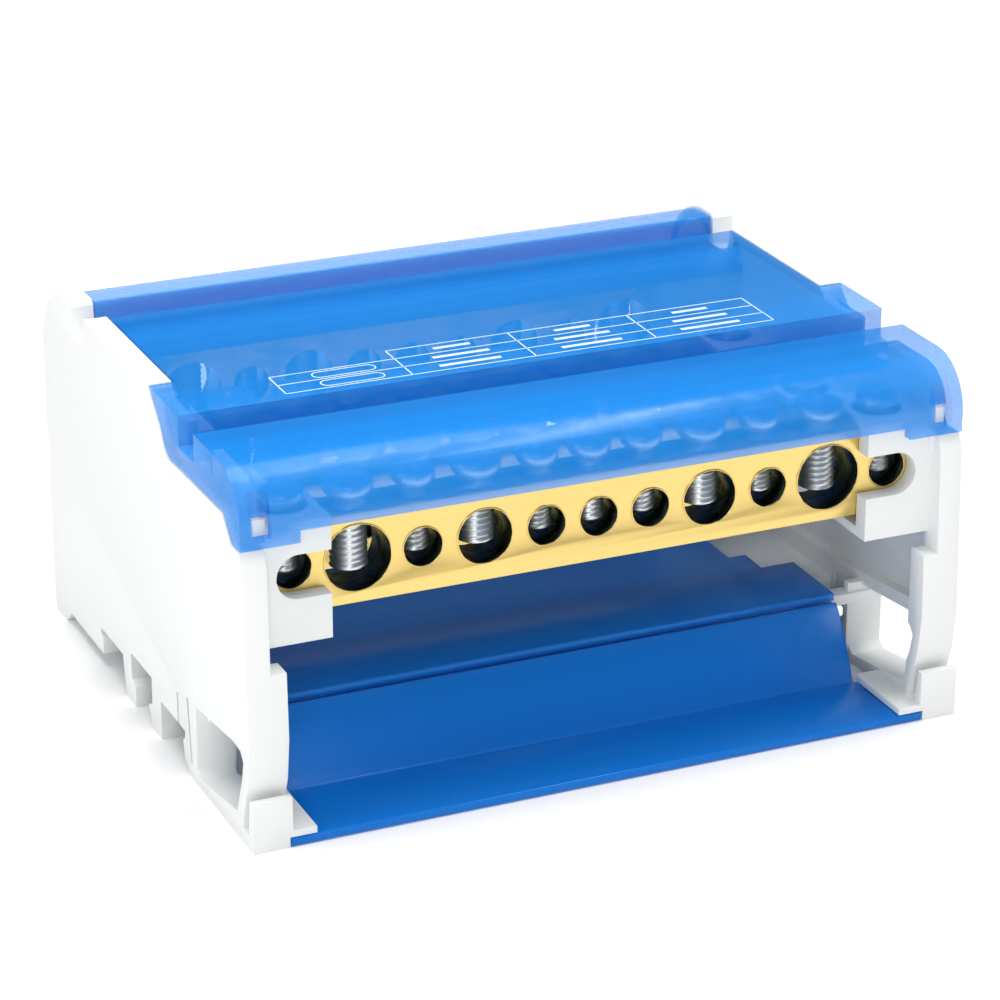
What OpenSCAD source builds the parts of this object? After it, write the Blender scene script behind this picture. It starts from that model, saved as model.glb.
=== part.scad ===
// Power distribution block, four poles of eleven ways, for a 35 mm top-hat rail.
// Two moulded side plates carry four drilled brass bars, two wiring trays and a deck.
// Two tinted covers swing up on pins in the plates. +X is right, -Y is the front, +Z is up.

/* [Ways] */
// Diameter of a small cable hole
hole_small = 5.3; // [4.8:0.1:5.6]
// Diameter of a medium cable hole
hole_medium = 7.5; // [6.8:0.1:7.8]
// Diameter of a large cable hole
hole_large = 9; // [8.4:0.1:9.4]
// Spacing between two small ways
pitch_small = 7.3; // [7:0.1:8.4]
// Spacing between a small and a medium way
pitch_medium = 8.45; // [8.2:0.05:9.4]
// Spacing between a small and a large way
pitch_large = 8.75; // [8.6:0.05:9.6]
// Distance from the last way to the end of the bar
bar_end = 4.3; // [3.9:0.1:5]

/* [Bars] */
// Depth of a bar, front to back
bar_d = 6.5; // [6.2:0.1:7.5]
// Height of a bar
bar_h = 12; // [11.4:0.1:12.6]
// Distance from the ridges down to the outer bars' holes
outer_bar_drop = 15.4; // [14.8:0.1:16.2]
// Distance from the ridges down to the inner bars' holes
inner_bar_drop = 19.4; // [18.6:0.1:21]
// Distance from the front of the foot back to the outer bar
bar_setback = 6.7; // [6.4:0.1:8]
// Distance from the middle of the block to an inner bar's centre
inner_bar_y = 11.5; // [10.6:0.1:12.4]

/* [Clamp screws] */
// Thread diameter of the screws over the small ways
small_screw_d = 4; // [3.6:0.1:4.4]
// Thread diameter of the screws over the medium and large ways
large_screw_d = 5; // [4.6:0.1:5.2]
// Head diameter of the screws over the small ways
small_head_d = 5.6; // [5.2:0.1:6]
// Head diameter of the screws over the medium and large ways
large_head_d = 6.6; // [6.2:0.1:7]
// Height of a screw head
screw_head_h = 2.8; // [2.4:0.1:3]
// Gap between a screw head and the bar
screw_head_gap = 0.7; // [0.5:0.1:0.9]
// Height left open under the screw in a small way
small_tip_gap = 1.3; // [1:0.1:2]
// Height left open under the screw in a medium or large way
large_tip_gap = 2.1; // [1.5:0.1:3]

/* [Side plates] */
// Depth of the block at its feet
block_d = 82; // [81:0.5:88]
// Height of the block to the ridges of the side plates
block_h = 50; // [49.5:0.1:53]
// Thickness of a side plate's outer skin
skin_t = 1.6; // [1.3:0.1:2]
// Thickness of a side plate at its rims
rim_t = 3.2; // [2.9:0.1:3.6]
// Thickness of the plastic past each end of a bar
bar_end_wall = 4; // [3.8:0.1:5]
// Distance that the bar pockets reach in from the outer faces
pocket_reach = 12.6; // [12:0.1:13.4]
// Wall of a bar pocket in front of and behind the bar
pocket_wall = 2.6; // [2.2:0.1:2.8]
// Floor and roof thickness of a bar pocket
pocket_floor = 1.3; // [1:0.1:1.6]
// Open height between a bar and the pocket floor
pocket_drop = 1.6; // [1.2:0.1:2]
// Width of the front column where it carries the load
column_w = 5.3; // [4.6:0.1:6]
// Depth of the front column behind its face
column_d = 3; // [2.4:0.1:3.4]
// Distance in from the outer face to the edge of a base tab
tab_reach = 8.5; // [7:0.1:10]

/* [DIN rail seat] */
// Width of the mounting rail
rail_w = 35; // [34.5:0.1:35.5]
// Height of the face that sits on the rail's brim
rail_seat_z = 5.7; // [5:0.1:6.5]
// Distance from the middle of the block back to the middle of the rail
rail_offset = 1.95; // [1:0.05:3]
// Thickness of the rail's brim
rail_brim_t = 1; // [0.8:0.1:1.2]

/* [Covers] */
// Wall thickness of the covers
cover_wall = 1.5; // [1.2:0.1:1.8]
// Depth of the groove across the front cover
groove_depth = 4.2; // [3:0.1:4.6]
// Width of the groove across the front cover
groove_w = 5.7; // [4.5:0.1:7]
// Distance from the middle forward to the groove
panel_front = 17.1; // [15:0.1:18]
// Distance from the middle forward to the front end of the plates' ridges
ridge_front = 5.8; // [4:0.1:7]
// Radius of the front cover's shoulder
shoulder_r = 7; // [5:0.5:8]
// Radius of the rear cover's shoulder
rear_shoulder_r = 11; // [9:0.5:11.5]
// Height of the front cover's face
cover_face_h = 9.5; // [9.2:0.1:10]
// Gap between the two covers over the hinge bridge
hinge_gap = 6.5; // [6:0.1:8]
// Depth of the rear cover
rear_cover_d = 14; // [13:0.1:15]
// Radius of the hinge barrels
barrel_r = 1.6; // [1.4:0.1:1.8]
// Radius of the hinge pins
pin_r = 1; // [0.8:0.05:1.1]

/* [Trays] */
// Sheet thickness of the trays and the deck
sheet_t = 1.2; // [1:0.1:1.4]
// Height of the deck above the base
deck_z = 10.4; // [10:0.1:11.5]
// Depth of a tray's flat floor
tray_floor_d = 13; // [11:0.5:14]
// Depth of a tray's rising back
tray_rise_d = 6.2; // [5:0.1:7]

/* [Clearances] */
// Gap between a cover and a side plate
cover_gap = 0.3; // [0.25:0.05:0.4]
// Gap round a bar in its pockets
seat_gap = 0.1; // [0.05:0.01:0.15]
// Radial gap of a hinge pin in its socket
pin_gap = 0.05; // [0.03:0.01:0.1]
// Radial gap of a screw in its bar
thread_gap = 0.05; // [0.03:0.01:0.1]

/* [Hidden] */
$fn = 48;
eps = 0.01;

plate_colour = [0.86, 0.87, 0.85];
cover_colour = [0.05, 0.45, 0.95, 0.55];
tray_colour = [0.0, 0.3, 0.85, 0.6];
brass_colour = [0.85, 0.68, 0.3];
screw_colour = [0.78, 0.8, 0.8];

// The ways of one bar, counted from its middle outwards
half_sizes = [hole_small, hole_small, hole_medium, hole_small, hole_large, hole_small];
half_pitches = [0, pitch_small, pitch_medium, pitch_medium, pitch_large, pitch_large];
function half_x(i) = i == 0 ? 0 : half_x(i - 1) + half_pitches[i];
ways = [for (i = [-5:5]) [sign(i) * half_x(abs(i)), half_sizes[abs(i)]]];
last_way_x = half_x(5);
bar_half = last_way_x + bar_end;
outer_x = bar_half + bar_end_wall;
skin_x = outer_x - skin_t;
rim_x = outer_x - rim_t;
pocket_x = outer_x - pocket_reach;
panel_half = rim_x - cover_gap;

foot_y = -block_d / 2;
rear_y = block_d / 2;
column_top_y = foot_y + 1.6;
column_low_y = foot_y + 0.7;
cover_face_y = foot_y + 1.8;
outer_bar_y = rear_y - bar_setback - bar_d / 2;
outer_bar_z = block_h - outer_bar_drop;
inner_bar_z = block_h - inner_bar_drop;
pocket_low_z = outer_bar_z - bar_h / 2 - pocket_drop - pocket_floor;

front_top_z = block_h - 0.4;
groove_z = block_h - groove_depth;
lip_z = front_top_z - cover_face_h;
lip_mid_z = lip_z + 1.6;
lip_step_x = outer_x - 7.8;
end_wall_z = block_h - 7.2;

rear_panel_y = rear_y - rear_cover_d;
panel_rear = rear_panel_y - hinge_gap;
rear_top_z = block_h + 0.4;
rear_lip_z = rear_top_z - rear_shoulder_r - 1;
barrel_z = block_h - 2.4;
front_axis_y = panel_rear - 1.3;
rear_axis_y = rear_panel_y + 1.8;
pin_reach = 1.6;
bridge_top_z = barrel_z - barrel_r - cover_gap;
bridge_t = 1.2;
bridge_lug = 1;

floor_z = 0.1;
tray_half = outer_x - 5;
rise_half = outer_x - tab_reach;
tab_t = 0.9;
tab_z = floor_z + sheet_t + seat_gap;
tray_back_y = rear_y - tray_floor_d - tray_rise_d;
deck_half_d = tray_back_y + 0.5;
deck_half_w = rise_half;
deck_notch_y = 10.4;
deck_notch_w = 5;
deck_slot_y = 5.5;
deck_slot_w = 7.6;

rail_front = rail_offset - rail_w / 2 - seat_gap;
rail_rear = rail_offset + rail_w / 2 + seat_gap;
brim_z = rail_seat_z - rail_brim_t;
rail_lip = 4;
saddle_top_z = rail_seat_z + 3.2;
boss_reach = 14;
hook_h = 7;
window_rear_y = rail_front - 4.7;
window_flange_t = 1.2;
window_h = 10.4;
ledge_reach = 2.5;
ledge_t = 1.5;
rear_tab_d = tray_floor_d - 2.5;
column_x = outer_x - column_w;
column_top_z = pocket_low_z - 2.2;
bridge_lap = 3;
bridge_d = hinge_gap + 2 * bridge_lap;

catch_x = rim_x - 0.6;
catch_w = 1.9;
catch_d = 2.4;
catch_gap = 0.15;
catch_low = 3;
catch_rise = 3.2;
window_lift = 1.2;
cover_window_h = 7;
rear_inset = 0.3;
leg_w = 3;
leg_z = 22.4;

// Points along an arc, for outlines
function arc_pts(c, r, a0, a1, n) =
    [for (i = [0:n]) [c[0] + r * cos(a0 + (a1 - a0) * i / n), c[1] + r * sin(a0 + (a1 - a0) * i / n)]];

// Draws a front-to-back outline and gives it a width from x0 to x1
module side_extrude(x0, x1) {
    translate([x0, 0, 0]) rotate([90, 0, 90]) linear_extrude(height = x1 - x0) children();
}

module both_ends() {
    children();
    mirror([1, 0, 0]) children();
}

// Lower edge of the front cover's end walls, from its rear top to its front lip.
// The plate uses the same line, moved back and down by the gap between the two.
function end_wall_line(g) = [for (p = concat(
    [[-ridge_front, block_h], [-ridge_front - 4, block_h - 3.7]],
    arc_pts([-ridge_front - 8, end_wall_z + 3.2], 3.2, -20, -90, 6),
    [[cover_face_y + 6.2, end_wall_z + 0.4], [cover_face_y + 3.9, end_wall_z - 2],
     [cover_face_y + 3.2, lip_z]])) [p[0] + g, p[1] - g]];

// Everything under the front cover's outer surface, drawn inset by off
module front_cover_block(off) {
    r = shoulder_r - off;
    face_y = cover_face_y + off;
    front_rear_y = -panel_front - groove_w - off;
    low_z = lip_z - block_h / 2;
    square_from(face_y, low_z, front_rear_y, front_top_z - shoulder_r);
    square_from(cover_face_y + shoulder_r, low_z, front_rear_y, front_top_z - off);
    translate([cover_face_y + shoulder_r, front_top_z - shoulder_r]) circle(r = r);
    square_from(front_rear_y - eps, low_z, -panel_front + off + eps, groove_z - off);
    square_from(-panel_front + off, low_z, panel_rear, block_h - off);
}

module square_from(y0, z0, y1, z1) {
    translate([y0, z0]) square([y1 - y0, z1 - z0]);
}

// Side plate outline, all that lies below the covers
module plate_outline() {
    polygon(concat(
        // front hook and the slit behind it
        [[foot_y, 0], [foot_y, 6.9], [foot_y + 1.1, 6.9], [foot_y + 1.6, 2], [foot_y + 3.7, 2],
         [foot_y + 2.9, 5], [foot_y + 1.5, 9], [column_low_y, 14.5], [column_top_y, lip_z - 2.4],
         [column_top_y + 0.8, lip_z - cover_gap]],
        // under the front cover's end wall
        [for (i = [0:len(end_wall_line(0)) - 1])
            end_wall_line(cover_gap)[len(end_wall_line(0)) - 1 - i]],
        // ridge, hinge notch and rear post
        [[-ridge_front + cover_gap, block_h], [panel_rear + 0.7, block_h], [panel_rear + 1.9, block_h - 4],
         [rear_panel_y - 0.4, block_h - 4], [rear_panel_y, rear_top_z - 0.6],
         [rear_panel_y + 0.6, rear_top_z]],
        arc_pts([rear_y - rear_shoulder_r, rear_top_z - rear_shoulder_r], rear_shoulder_r, 90, 0, 16),
        // latch notch and rear edge
        [[rear_y, 27.2], [rear_y - 0.5, 26], [rear_y - 0.9, 24.2], [rear_y - 0.7, 22.4],
         [rear_y - 0.2, 22.2]],
        arc_pts([rear_y - 1.2, 1], 1, 0, -90, 4),
        // rear foot
        [[rear_y - 5.4, 0], [rear_y - 7.7, 2], [rail_rear - 0.9, 2], [rail_rear - 0.9, brim_z - 0.1],
         [rail_rear, brim_z], [rail_rear, rail_seat_z - 0.1], [rail_rear - 1, rail_seat_z]],
        // rear post inside the rail's channel
        [[rail_offset + 7.9, rail_seat_z], [rail_offset + 6.9, 0], [rail_offset + 2.8, 0],
         [rail_offset + 2.8, 3], [rail_offset + 4.3, 3.6], [rail_offset + 4.3, 7.5]],
        // front post inside the rail's channel
        [[rail_offset - 4.3, 7.5], [rail_offset - 4.3, 3.6], [rail_offset - 2.7, 3],
         [rail_offset - 4.3, 0], [rail_offset - 7.9, 0], [rail_offset - 7.9, rail_seat_z]],
        // spring tongue
        [[rail_front + 2.4, rail_seat_z], [rail_front, rail_seat_z], [rail_front, brim_z],
         [rail_front + 0.9, brim_z - 0.7], [rail_front + 0.4, 2], [rail_front - 1.5, 0]]));
}

// Cable window and spring slits
module plate_cuts() {
    w0 = window_rear_y;
    polygon([[w0, 11.2], [foot_y + 6.5, 12.8], [foot_y + 3.9, 12.6], [foot_y + 2.9, 11.4],
        [foot_y + 3.5, 8.9], [foot_y + 5.7, 3.5], [w0 - 1.2, 1.4], [w0, 2.4]]);
    square_from(rail_front + 2.3, rail_seat_z - eps, rail_front + 2.9, 10.1);
    polygon([[rail_front - 1, 11.1], [rail_front - 1.65, 11.1], [rail_front - 2.75, 2],
        [rail_front - 2.1, 2]]);
}

// Shallow recess on the inside of a side plate
module plate_recess() {
    polygon([[foot_y + 5, 14.9], [rail_front + 6, 11.6], [rear_y - 4, 11.6],
        [rear_y - 4, block_h - 12], [foot_y + 5, block_h - 12]]);
}

// Socket that holds one end of a bar; the bar's face looks to -Y
module bar_pocket(bar_z) {
    low = bar_z - bar_h / 2 - pocket_drop - pocket_floor;
    high = bar_z + bar_h / 2 + seat_gap + pocket_floor;
    half_d = bar_d / 2 + pocket_wall;
    difference() {
        translate([pocket_x, -half_d, low]) cube([skin_x + eps - pocket_x, 2 * half_d, high - low]);
        // room for the bar and, inside the seat, below it
        translate([pocket_x - 1, -bar_d / 2 - seat_gap, bar_z - bar_h / 2 - seat_gap])
            cube([bar_half + seat_gap - pocket_x + 1, bar_d + 2 * seat_gap, bar_h + 2 * seat_gap]);
        translate([pocket_x - 1, -bar_d / 2 - seat_gap, low + pocket_floor])
            cube([bar_half - 1.2 - pocket_x + 1, bar_d + 2 * seat_gap, bar_h]);
        // slot for the cable of the last way
        translate([last_way_x, 0, bar_z]) rotate([90, 0, 0])
            cylinder(r = hole_small / 2 + 0.3, h = bar_d + 4 * pocket_wall, center = true);
        translate([pocket_x - 1, -half_d - 1, bar_z - hole_small / 2 - 0.3])
            cube([last_way_x - pocket_x + 1, 2 * half_d + 2, hole_small + 0.6]);
        // hole for the last screw's head
        translate([last_way_x, 0, bar_z])
            cylinder(r = small_head_d / 2 + 0.5, h = bar_h);
    }
}

module side_plate() {
    // skin
    difference() {
        side_extrude(skin_x, outer_x) difference() {
            plate_outline();
            plate_cuts();
        }
        hinge_sockets();
    }
    // tongue inside the front cover's end wall
    side_extrude(rim_x, skin_x - cover_gap) intersection() {
        front_cover_block(cover_wall + cover_gap);
        square_from(column_top_y + 1.6, lip_z - catch_low, -ridge_front - 1, block_h);
    }
    // inner layer with its rims
    difference() {
        side_extrude(rim_x, skin_x + eps) difference() {
            plate_outline();
            plate_cuts();
            plate_recess();
        }
        hinge_sockets();
        translate([rim_x - eps, panel_rear - bridge_lap - seat_gap, bridge_top_z - bridge_t - seat_gap])
            cube([bridge_lug + seat_gap + eps, bridge_d + 2 * seat_gap, bridge_t + 2 * seat_gap]);
    }
    // front column, wide below the bar pocket
    side_extrude(column_x, skin_x + eps) intersection() {
        difference() {
            plate_outline();
            plate_cuts();
        }
        square_from(foot_y, tab_z, foot_y + column_d + 1.3, column_top_z);
    }
    // root of the front hook and the base tabs
    side_extrude(tray_half + seat_gap, skin_x + eps) intersection() {
        difference() {
            plate_outline();
            plate_cuts();
        }
        square_from(foot_y, 0, window_rear_y + window_flange_t, hook_h);
    }
    translate([rise_half, foot_y, tab_z])
        cube([skin_x + eps - rise_half, tray_floor_d - 1, tab_t]);
    translate([rise_half, rear_y - tray_floor_d + 1, tab_z])
        cube([skin_x + eps - rise_half, rear_tab_d, tab_t]);
    translate([tray_half + seat_gap, rear_y - tray_floor_d + 1, tab_z + eps])
        cube([skin_x + eps - tray_half - seat_gap, rear_tab_d, 2 * tab_t]);
    // flange along the rear of the cable window
    translate([column_x, window_rear_y, floor_z + sheet_t])
        cube([skin_x + eps - column_x, window_flange_t, window_h]);
    // rail saddle that reaches inwards under the deck
    side_extrude(outer_x - boss_reach, skin_x + eps) intersection() {
        plate_outline();
        square_from(rail_front + rail_lip, rail_seat_z - eps, rail_rear - rail_lip, saddle_top_z);
    }
    // ledges under the deck's corners
    for (side = [-1, 1]) translate([0, side * (window_rear_y + window_flange_t / 2), deck_z])
        translate([deck_half_w - ledge_reach, -window_flange_t, -ledge_t])
            cube([skin_x + eps - deck_half_w + ledge_reach, 2 * window_flange_t, ledge_t]);
    // pockets for the four bars
    translate([0, -outer_bar_y, 0]) bar_pocket(outer_bar_z);
    translate([0, -inner_bar_y, 0]) bar_pocket(inner_bar_z);
    translate([0, inner_bar_y, 0]) mirror([0, 1, 0]) bar_pocket(inner_bar_z);
    translate([0, outer_bar_y, 0]) mirror([0, 1, 0]) bar_pocket(outer_bar_z);
    // catch that stands in the front cover's window
    translate([catch_x, cover_face_y + cover_wall + catch_gap, lip_z - catch_low])
        cube([catch_w, catch_d, catch_low + catch_rise]);
}

// Room for the front cover's end wall beside the plate's inner parts
module end_wall_room() {
    side_extrude(skin_x - cover_gap, outer_x + 1) polygon(concat(end_wall_line(cover_gap),
        [[column_top_y + 0.8, lip_z - cover_gap], [foot_y - 1, lip_z - cover_gap],
         [foot_y - 1, block_h + 1], [-ridge_front + cover_gap, block_h + 1]]));
}

// Blind holes for the cover pins
module hinge_sockets() {
    for (y = [front_axis_y, rear_axis_y])
        translate([rim_x - 1, y, barrel_z]) rotate([0, 90, 0])
            cylinder(r = pin_r + pin_gap, h = pin_reach + cover_gap + 1);
}

module finished_side_plate() {
    difference() {
        side_plate();
        end_wall_room();
    }
}

module left_side_plate() {
    color(plate_colour) mirror([1, 0, 0]) finished_side_plate();
}

module right_side_plate() {
    color(plate_colour) finished_side_plate();
}

// Round barrel with a pin at each end
module hinge_barrel(y) {
    translate([-panel_half, y, barrel_z]) rotate([0, 90, 0])
        cylinder(r = barrel_r, h = 2 * panel_half);
    translate([-rim_x - pin_reach, y, barrel_z]) rotate([0, 90, 0])
        cylinder(r = pin_r, h = 2 * (rim_x + pin_reach));
}

module front_cover() {
    color(cover_colour) {
        difference() {
            union() {
                // sheet across the full width in front of the ridges
                difference() {
                    side_extrude(-outer_x, outer_x) intersection() {
                        front_cover_block(0);
                        square_from(foot_y, lip_z, -ridge_front, block_h);
                    }
                    side_extrude(-skin_x, skin_x) front_cover_block(cover_wall);
                    // end walls stop at their lower edge
                    both_ends() side_extrude(panel_half, outer_x + 1)
                        polygon(concat(end_wall_line(0), [[cover_face_y + 3.2, lip_z - 1],
                            [0, lip_z - 1], [0, block_h - 1.2], [-ridge_front, block_h - 1.2]]));
                }
                // centre panel between the ridges
                side_extrude(-panel_half, panel_half)
                    square_from(-ridge_front - eps, block_h - cover_wall, panel_rear, block_h);
                hinge_barrel(front_axis_y);
            }
            // raised middle of the lip
            translate([-lip_step_x, cover_face_y - 1, lip_z - 1])
                cube([2 * lip_step_x, cover_wall + 2, lip_mid_z - lip_z + 1]);
            // windows over the catches
            both_ends() translate([catch_x - cover_gap, cover_face_y - 1, lip_z + window_lift])
                cube([catch_w + 2 * cover_gap, cover_wall + 1.1, cover_window_h]);
        }
    }
}

module rear_cover() {
    color(cover_colour) {
        side_extrude(-panel_half, panel_half) difference() {
            rear_cover_block(0);
            rear_cover_block(cover_wall);
            square_from(rear_panel_y - 1, rear_lip_z - 1, rear_axis_y, barrel_z);
        }
        hinge_barrel(rear_axis_y);
        // latch legs that show in the plates' rear notches
        both_ends() translate([panel_half - leg_w, rear_y - rear_inset - cover_wall, leg_z])
            cube([leg_w, cover_wall, rear_lip_z - leg_z + eps]);
    }
}

// Everything under the rear cover's outer surface, drawn inset by off
module rear_cover_block(off) {
    r = rear_shoulder_r - rear_inset;
    c = [rear_y - rear_shoulder_r, rear_top_z - rear_shoulder_r];
    low_z = rear_lip_z - (off > 0 ? 1 : 0);
    intersection() {
        union() {
            translate(c) circle(r = r - off);
            square_from(rear_panel_y + off, low_z, c[0], rear_top_z - rear_inset - off);
            square_from(c[0] - eps, low_z, c[0] + r - off, c[1]);
        }
        square_from(rear_panel_y + off, low_z, rear_y, rear_top_z);
    }
}

module hinge_bridge() {
    color(tray_colour)
        translate([-rim_x - bridge_lug, panel_rear - bridge_lap, bridge_top_z - bridge_t])
            cube([2 * (rim_x + bridge_lug), bridge_d, bridge_t]);
}

// Tray outline: flat floor, then a hollow curve up to the deck
module tray_profile() {
    fold_y = tray_floor_d;
    top_y = tray_floor_d + tray_rise_d;
    rise = deck_z - floor_z - 0.1;
    function curve(t) = [fold_y + tray_rise_d * t, floor_z + rise * (1.45 * t - 0.45 * t * t)];
    n = 8;
    square_from(0, floor_z, fold_y, floor_z + sheet_t);
    polygon(concat([for (i = [0:n]) curve(i / n)],
        [for (i = [n:-1:0]) [curve(i / n)[0] - 0.6 * sheet_t, curve(i / n)[1] + (i == n ? 0 : sheet_t)]]));
}

module tray() {
    translate([0, foot_y, 0]) difference() {
        side_extrude(-tray_half, tray_half) tray_profile();
        both_ends() translate([rise_half - 0.2, tray_floor_d - 1.2, tab_z - 2])
            cube([10, tray_rise_d + 2, deck_z + 3]);
    }
}

module front_tray() {
    color(tray_colour) tray();
}

module rear_tray() {
    color(tray_colour) mirror([0, 1, 0]) tray();
}

module rail_deck() {
    color(tray_colour) translate([0, 0, deck_z]) linear_extrude(height = sheet_t) difference() {
        square([2 * deck_half_w, 2 * deck_half_d], center = true);
        for (side = [-1, 1]) {
            translate([side * deck_half_w, 0]) square([2 * deck_notch_w, 2 * deck_notch_y], center = true);
            translate([side * deck_half_w, 0]) square([2 * deck_slot_w, 2 * deck_slot_y], center = true);
        }
    }
}

function screw_d(way_d) = way_d == hole_small ? small_screw_d : large_screw_d;
function head_d(way_d) = way_d == hole_small ? small_head_d : large_head_d;
function tip_gap(way_d) = way_d == hole_small ? small_tip_gap : large_tip_gap;

// Brass bar with its cable holes and tapped screw holes
module bar(y, z) {
    color(brass_colour) difference() {
        translate([-bar_half, y - bar_d / 2, z - bar_h / 2]) cube([2 * bar_half, bar_d, bar_h]);
        for (way = ways) translate([way[0], y, z]) {
            rotate([90, 0, 0]) cylinder(d = way[1], h = bar_d + 2, center = true);
            cylinder(d = screw_d(way[1]) + 2 * thread_gap, h = bar_h);
        }
    }
}

// Clamp screw hanging into a way
module clamp_screw(way_d) {
    head_z = bar_h / 2 + screw_head_gap;
    tip_z = -way_d / 2 + tip_gap(way_d);
    difference() {
        union() {
            translate([0, 0, tip_z]) cylinder(d = screw_d(way_d), h = head_z - tip_z + eps);
            translate([0, 0, head_z])
                cylinder(d1 = screw_d(way_d), d2 = head_d(way_d), h = screw_head_h / 2);
            translate([0, 0, head_z + screw_head_h / 2 - eps])
                cylinder(d = head_d(way_d), h = screw_head_h / 2 + eps);
        }
        for (turn = [0, 90]) rotate([0, 0, turn + 35])
            translate([0, 0, head_z + screw_head_h]) cube([head_d(way_d) * 0.6, 0.9, 2.4], center = true);
    }
}

module bar_screws(y, z, way_d) {
    color(screw_colour) for (way = ways) if (way[1] == way_d)
        translate([way[0], y, z]) clamp_screw(way_d);
}

// Places and names: front, inner front, inner rear and rear bar
module front_bar() {
    bar(-outer_bar_y, outer_bar_z);
}

module inner_front_bar() {
    bar(-inner_bar_y, inner_bar_z);
}

module inner_rear_bar() {
    bar(inner_bar_y, inner_bar_z);
}

module rear_bar() {
    bar(outer_bar_y, outer_bar_z);
}

module front_bar_screws(way_d) {
    bar_screws(-outer_bar_y, outer_bar_z, way_d);
}

module inner_front_bar_screws(way_d) {
    bar_screws(-inner_bar_y, inner_bar_z, way_d);
}

module inner_rear_bar_screws(way_d) {
    bar_screws(inner_bar_y, inner_bar_z, way_d);
}

module rear_bar_screws(way_d) {
    bar_screws(outer_bar_y, outer_bar_z, way_d);
}

left_side_plate();
right_side_plate();
front_cover();
rear_cover();
hinge_bridge();
front_tray();
rear_tray();
rail_deck();
front_bar();
inner_front_bar();
inner_rear_bar();
rear_bar();
front_bar_screws(hole_small);  // front_bar_small_screws
front_bar_screws(hole_medium);  // front_bar_medium_screws
front_bar_screws(hole_large);  // front_bar_large_screws
inner_front_bar_screws(hole_small);  // inner_front_bar_small_screws
inner_front_bar_screws(hole_medium);  // inner_front_bar_medium_screws
inner_front_bar_screws(hole_large);  // inner_front_bar_large_screws
inner_rear_bar_screws(hole_small);  // inner_rear_bar_small_screws
inner_rear_bar_screws(hole_medium);  // inner_rear_bar_medium_screws
inner_rear_bar_screws(hole_large);  // inner_rear_bar_large_screws
rear_bar_screws(hole_small);  // rear_bar_small_screws
rear_bar_screws(hole_medium);  // rear_bar_medium_screws
rear_bar_screws(hole_large);  // rear_bar_large_screws
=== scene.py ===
import math

import bmesh
import bpy
from mathutils import Matrix, Vector


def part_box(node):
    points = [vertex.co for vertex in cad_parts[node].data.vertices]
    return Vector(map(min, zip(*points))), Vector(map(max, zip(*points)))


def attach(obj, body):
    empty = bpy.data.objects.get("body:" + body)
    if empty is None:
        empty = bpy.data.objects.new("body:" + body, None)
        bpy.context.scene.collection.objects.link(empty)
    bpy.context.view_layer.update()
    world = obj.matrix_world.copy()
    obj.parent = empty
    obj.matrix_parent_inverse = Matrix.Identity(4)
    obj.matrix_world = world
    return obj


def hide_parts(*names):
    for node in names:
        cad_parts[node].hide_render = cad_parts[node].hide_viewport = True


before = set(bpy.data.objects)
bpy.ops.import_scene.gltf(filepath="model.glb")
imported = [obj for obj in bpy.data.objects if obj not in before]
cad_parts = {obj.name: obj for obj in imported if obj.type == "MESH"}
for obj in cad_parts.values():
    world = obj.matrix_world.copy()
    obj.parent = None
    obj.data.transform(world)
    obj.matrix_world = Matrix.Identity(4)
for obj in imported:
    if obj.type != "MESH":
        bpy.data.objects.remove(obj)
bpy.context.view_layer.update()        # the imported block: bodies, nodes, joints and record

bl_info = {
    "name": "Power distribution block",
    "version": (1, 0, 0),
    "blender": (4, 5, 0),
    "location": "3D View > Sidebar > Block",
    "description": "Dresses a rail-mounted power distribution block and sets its studio",
    "category": "Object",
}

MM = 0.001
BARS = ("front_bar", "inner_front_bar", "inner_rear_bar", "rear_bar")
WAY_SIZES = ("small", "medium", "large")
HOLE_RADII = {"small": 2.65 * MM, "medium": 3.75 * MM, "large": 4.5 * MM}
HOUSING = "housing"
FRONT_COVER = "front_cover"
REAR_COVER = "rear_cover"

MERGE_DISTANCE = 0.002 * MM       # corners of a CAD mesh that lie closer than this are one
FLAT_ANGLE = math.radians(0.6)    # faces that meet flatter than this become one
BEVEL_ANGLE = math.radians(35)    # edges sharper than this are rounded
SHARP_ANGLE = math.radians(32)    # edges sharper than this shade as edges
BEVEL_SEGMENTS = 2

SCREW_SIDES = 20
STEPS_PER_TURN = 4                # rings of points in one turn of a thread
SHANK_RADII = {"small": 2.0 * MM, "medium": 2.5 * MM, "large": 2.5 * MM}
HEAD_HEIGHT = 2.8 * MM
# shares of a head's radius and height, from the cone under it up to its rim
HEAD_PROFILE = ((0.8, 0.3), (0.97, 0.5), (1.0, 0.62), (1.0, 0.9), (0.94, 1.0))
RECESS_REACH = 0.58               # of a head's radius
RECESS_HALF_WIDTH = 0.17          # of a head's radius

BURR_OFFSET = 0.02 * MM           # how far the middle of a burr lies outside its hole
BURR_RADIUS = 0.11 * MM
BURR_RAGGEDNESS = 0.28 * MM
INK_THICKNESS = 0.03 * MM

SENSOR_WIDTH = 36                 # millimetres
FLOOR_HALF = 3.0                  # metres
AIR_STRENGTH = 0.38
MIRRORED_AIR_STRENGTH = 0.14
LIGHT_AIM = (0, 0, 0.03)
# name, place, width and depth in metres, watts
LIGHTS = (
    ("overhead", (-0.05, 0.1, 0.9), (0.7, 0.5), 4.8),
    ("left", (-0.9, -0.1, 0.35), (0.5, 0.5), 1.7),
    ("strip", (0.33, -0.16, 0.85), (0.6, 0.05), 2.4),
    ("front", (-0.3, -0.7, 0.3), (0.25, 0.25), 1.0),
)


# ---------------------------------------------------------------- settings

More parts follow.
